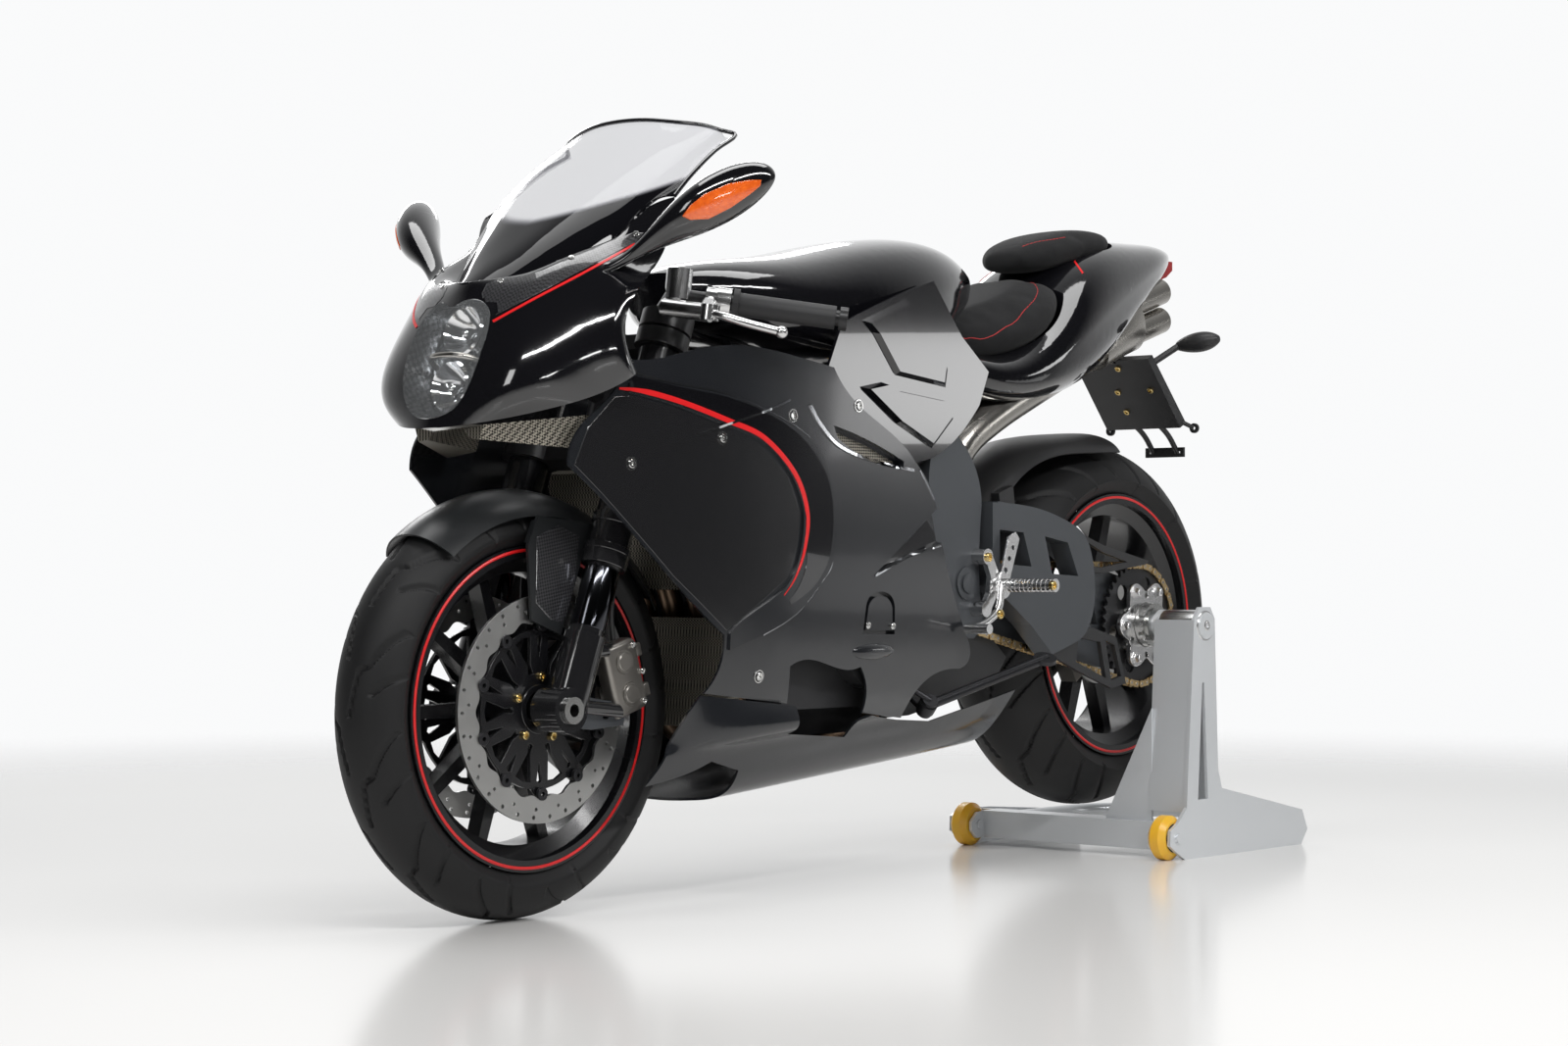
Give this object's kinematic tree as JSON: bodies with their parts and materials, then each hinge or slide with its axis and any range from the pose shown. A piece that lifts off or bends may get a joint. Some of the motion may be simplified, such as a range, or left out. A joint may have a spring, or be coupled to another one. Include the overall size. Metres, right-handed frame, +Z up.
{
  "type": "faired sport bike on a rear paddock stand",
  "caption": "Fully faired sport motorcycle with a single-sided swingarm, steering, turning wheels and a folding side stand, held upright on a rear paddock stand with rollers.",
  "frame": {"origin": "on the floor under the middle of the box round the bike and its stand", "axes": "+X to the front of the bike, +Y to the rider's left, +Z up"},
  "size_m": [2.054, 0.726, 1.16],
  "materials": {
    "dark_frame": "satin",
    "frame_alloy": "satin dark",
    "engine_alloy": "satin dark",
    "radiator": "satin dark",
    "satin_panel": "satin",
    "gloss_black": "gloss",
    "lamp_clear": "clear",
    "smoked_screen": "clear smoke",
    "duct_black": "matte",
    "lamp_red": "gloss",
    "suede": "napped",
    "header_steel": "heat tinted",
    "brushed_steel": "brushed",
    "matte_black": "matte",
    "dark_steel": "satin",
    "arm_grey": "satin dark grey",
    "chain_gold": "satin gold",
    "polished_alloy": "polished",
    "indicator_black": "matte",
    "caliper_grey": "anodised grey",
    "stand_silver": "satin silver",
    "roller_yellow": "satin",
    "fork_black": "gloss dark",
    "clamp_black": "satin",
    "grip_rubber": "matte",
    "lever_silver": "satin",
    "hose_black": "matte",
    "wheel_black": "gloss black",
    "tyre_rubber": "matte",
    "disc_steel": "brushed",
    "axle_silver": "satin",
    "sprocket_dark": "satin dark"
  },
  "bodies": {
    "chassis": {"frame_trellis": "dark_frame", "frame_plates": "frame_alloy", "engine": "engine_alloy", "radiators": "radiator", "side_fairing_left": "satin_panel", "side_fairing_right": "satin_panel", "belly_pan": "satin_panel", "nose_fairing": "gloss_black", "headlight": "lamp_clear", "windscreen": "smoked_screen", "air_ducts": "duct_black", "tank": "gloss_black", "side_covers": "gloss_black", "tail_unit": "gloss_black", "tail_lamp": "lamp_red", "seat": "suede", "pillion_pad": "suede", "exhaust_headers": "header_steel", "exhaust_link": "brushed_steel", "rear_hugger": "matte_black", "chain_guards": "matte_black", "rear_shock": "dark_steel", "swingarm": "arm_grey", "chain": "chain_gold", "front_sprocket": "dark_steel", "footrest_left": "polished_alloy", "footrest_right": "polished_alloy", "side_stand_bracket": "dark_steel", "plate_holder": "matte_black", "rear_indicators": "indicator_black", "mirror_left": "gloss_black", "mirror_right": "gloss_black", "instruments": "matte_black", "rear_caliper": "caliper_grey", "paddock_stand": "stand_silver"},
    "steering": {"fork_legs": "fork_black", "triple_clamps": "clamp_black", "handlebars": "clamp_black", "grips": "grip_rubber", "hand_controls": "lever_silver", "front_fender": "gloss_black", "front_calipers": "caliper_grey", "brake_hoses": "hose_black", "front_axle": "dark_steel"},
    "front_wheel": {"front_rim": "wheel_black", "front_tyre": "tyre_rubber", "front_discs": "disc_steel", "front_disc_carriers": "wheel_black"},
    "rear_wheel": {"rear_rim": "wheel_black", "rear_tyre": "tyre_rubber", "rear_axle": "axle_silver", "rear_disc": "disc_steel", "rear_sprocket": "sprocket_dark"},
    "side_stand": {"side_stand": "dark_steel"},
    "stand_roller_left": {"stand_roller_left": "roller_yellow"},
    "stand_roller_right": {"stand_roller_right": "roller_yellow"}
  },
  "joints": [
    {"name": "steering_turn", "type": "hinge", "parent": "chassis", "child": "steering", "pos_m": [0.485, 0, 0.828], "axis": [-0.3502, 0, 0.9367], "range_deg": [-22, 22]},
    {"name": "front_wheel_spin", "type": "hinge", "parent": "steering", "child": "front_wheel", "pos_m": [0.72704, 0, 0.3], "axis": [0, 1, 0], "continuous": true},
    {"name": "rear_wheel_spin", "type": "hinge", "parent": "chassis", "child": "rear_wheel", "pos_m": [-0.6776, 0, 0.398], "axis": [0, 1, 0], "continuous": true},
    {"name": "side_stand_fold", "type": "hinge", "parent": "chassis", "child": "side_stand", "pos_m": [-0.013, 0.178, 0.281], "axis": [-0.3094, -0.6981, -0.6456], "range_deg": [0, 105]},
    {"name": "stand_roller_left_spin", "type": "hinge", "parent": "chassis", "child": "stand_roller_left", "pos_m": [-0.591, 0.242, 0.038], "axis": [0, 1, 0], "continuous": true},
    {"name": "stand_roller_right_spin", "type": "hinge", "parent": "chassis", "child": "stand_roller_right", "pos_m": [-0.591, -0.18, 0.038], "axis": [0, 1, 0], "continuous": true}
  ]
}
